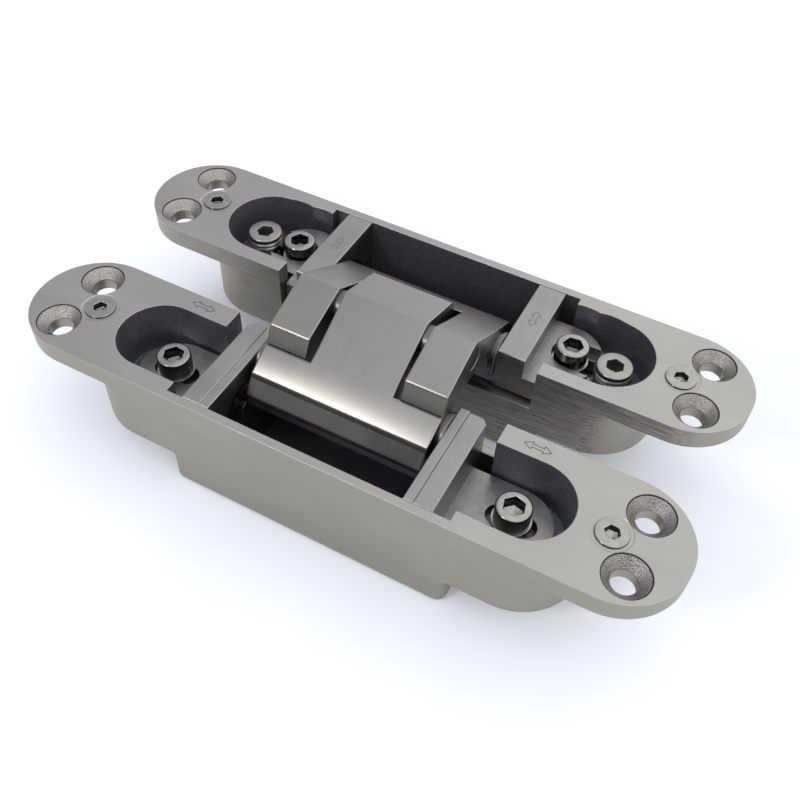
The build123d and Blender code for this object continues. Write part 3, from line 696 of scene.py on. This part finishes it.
def turned_screw(rings_mm, rim_mm, hex_mm, hex_depth_mm):
    """round blank drawn down ring by ring, its rim rounded, with a hexagonal socket cut in its top"""
    (radius, top), (_, low) = rings_mm[:2]
    bpy.ops.object.select_all(action="DESELECT")
    bpy.ops.mesh.primitive_cylinder_add(vertices=SCREW_SIDES, radius=radius * MM, depth=(top - low) * MM,
                                        location=(0, 0, (top + low) / 2 * MM))
    screw = bpy.context.active_object
    bpy.ops.object.transform_apply(location=True)
    bpy.ops.object.mode_set(mode="EDIT")
    bpy.context.tool_settings.mesh_select_mode = (False, False, True)
    select_faces_at(screw, low)
    for (wide, high), (narrow, lower) in zip(rings_mm[1:], rings_mm[2:]):
        bpy.ops.mesh.extrude_region_move(TRANSFORM_OT_translate={"value": (0, 0, (lower - high) * MM)})
        bpy.ops.transform.resize(value=(narrow / wide, narrow / wide, 1), center_override=(0, 0, 0))
    select_faces_at(screw, top)
    bpy.ops.mesh.bevel(offset=rim_mm * MM, segments=RIM_STEPS, affect="EDGES")
    bpy.ops.mesh.select_all(action="SELECT")
    bpy.ops.mesh.normals_make_consistent(inside=False)
    bpy.ops.object.mode_set(mode="OBJECT")
    key = hex_key(hex_mm, hex_depth_mm, top)
    cut = screw.modifiers.new("socket", "BOOLEAN")
    cut.operation = "DIFFERENCE"
    cut.solver = "EXACT"
    cut.object = key
    bpy.ops.object.select_all(action="DESELECT")
    bpy.context.view_layer.objects.active = screw
    screw.select_set(True)
    bpy.ops.object.modifier_apply(modifier=cut.name)
    bpy.data.objects.remove(key, do_unlink=True)
    bpy.ops.object.shade_smooth_by_angle(angle=SMOOTH_ANGLE)
    return screw


def set_of_screws(name, screw, places, material, body, node):
    """copies of one modelled screw at their places, joined as the piece that stands for the node"""
    copies = []
    for *place, turn in places:
        bpy.ops.object.select_all(action="DESELECT")
        bpy.context.view_layer.objects.active = screw
        screw.select_set(True)
        bpy.ops.object.duplicate(linked=False)
        copy = bpy.context.active_object
        copy.location = [value * MM for value in place]
        copy.rotation_euler[2] = math.radians(turn)
        bpy.ops.object.transform_apply(location=True, rotation=True)
        copies.append(copy)
    bpy.ops.object.select_all(action="DESELECT")
    for copy in copies:
        copy.select_set(True)
    bpy.context.view_layer.objects.active = copies[0]
    if len(copies) > 1:
        bpy.ops.object.join()
    finished(bpy.context.active_object, name, material, body)
    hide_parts(node)


# Scene
bpy.context.scene.view_settings.view_transform = "Standard"
make_camera()
make_room()
make_lamp("front_lamp", LAMP_PLACE_MM, LAMP_TARGET_MM, LAMP_SIZE_MM, LAMP_WATTS)
bpy.ops.object.select_all(action="DESELECT")
make_table()

# Finishes of the solids, by material slot
finishes = {
    "housing_metal": satin_nickel_housing(),
    "arm_metal": brushed_nickel_arm(),
    "carriage_metal": milled_nickel_carriage(),
    "screw_metal": nickel_plated_screw("hardened_screw", shaded_side_dark="#5d5b5a", shaded_side_light="#797775",
                                       roughness=0.22),
    "pin_metal": ground_pin_steel(),
    "bearing_plastic": black_acetal(),
}
for part in frame["record"]["subparts"]:
    for slot in frame["nodes"][part["node"]].material_slots:
        slot.material = finishes[part["material_slot"]]
screw_finish = finishes["screw_metal"]

# Arrows and threads
plate_mark = laser_oxide_mark("laser_oxide_mark", dark="#555352", light="#7b7977")
block_mark = laser_oxide_mark("worn_oxide_mark", dark="#6c6b6a", light="#8c8b8a")
spindle_finish = nickel_plated_screw("bright_spindle", shaded_side_dark="#7b7a79", shaded_side_light="#959391",
                                     roughness=0.32)
for side, word in ((-1, "left"), (1, "right")):
    on_rail = (side * ARROW_X, FRONT_RAIL_Y, FACE_HEIGHT)
    arrow_mark(f"front_arrow_{word}", on_rail, ARROW_LENGTH, ARROW_WIDTH, turn_deg=0,
               material=plate_mark, body="front_body")
    on_block = (side * BLOCK_ARROW_X, BLOCK_ARROW_Y, FACE_HEIGHT)
    arrow_mark(f"rear_arrow_{word}", on_block, BLOCK_ARROW_LENGTH, BLOCK_ARROW_WIDTH, turn_deg=90,
               material=block_mark, body="rear_carriage")
    thread_ridge(f"spindle_thread_{word}", side, spindle_finish, f"{word}_spindle")

# Screws and spindles
cap_screw = turned_screw(CAP_SCREW_RINGS, CAP_SCREW_RIM, CAP_SCREW_HEX, CAP_SCREW_HEX_DEPTH)
set_of_screws("front_cap_screws", cap_screw, FRONT_CLAMP_PLACES, screw_finish, "front_body",
              "front_clamp_screws")
set_of_screws("rear_cap_screws", cap_screw, REAR_CLAMP_PLACES, screw_finish, "rear_carriage",
              "rear_clamp_screws")
flush_screw = turned_screw(FLUSH_SCREW_RINGS, FLUSH_SCREW_RIM, FLUSH_SCREW_HEX, FLUSH_SCREW_HEX_DEPTH)
for word, places in (("front", FRONT_FLUSH_PLACES), ("rear", REAR_FLUSH_PLACES)):
    set_of_screws(f"{word}_flush_screws", flush_screw, places, screw_finish, f"{word}_body",
                  f"{word}_plate_screws")
spindle = turned_screw(SPINDLE_RINGS, SPINDLE_RIM, SPINDLE_HEX, SPINDLE_HEX_DEPTH)
for side, word in ((-1, "left"), (1, "right")):
    place = (side * SPINDLE_X, HALF_PITCH, COLLAR_TOP, side * SPINDLE_TURN)
    set_of_screws(f"{word}_adjuster", spindle, [place], spindle_finish, f"{word}_spindle",
                  f"spindle_{word}")
for pattern in (cap_screw, flush_screw, spindle):
    bpy.data.objects.remove(pattern, do_unlink=True)
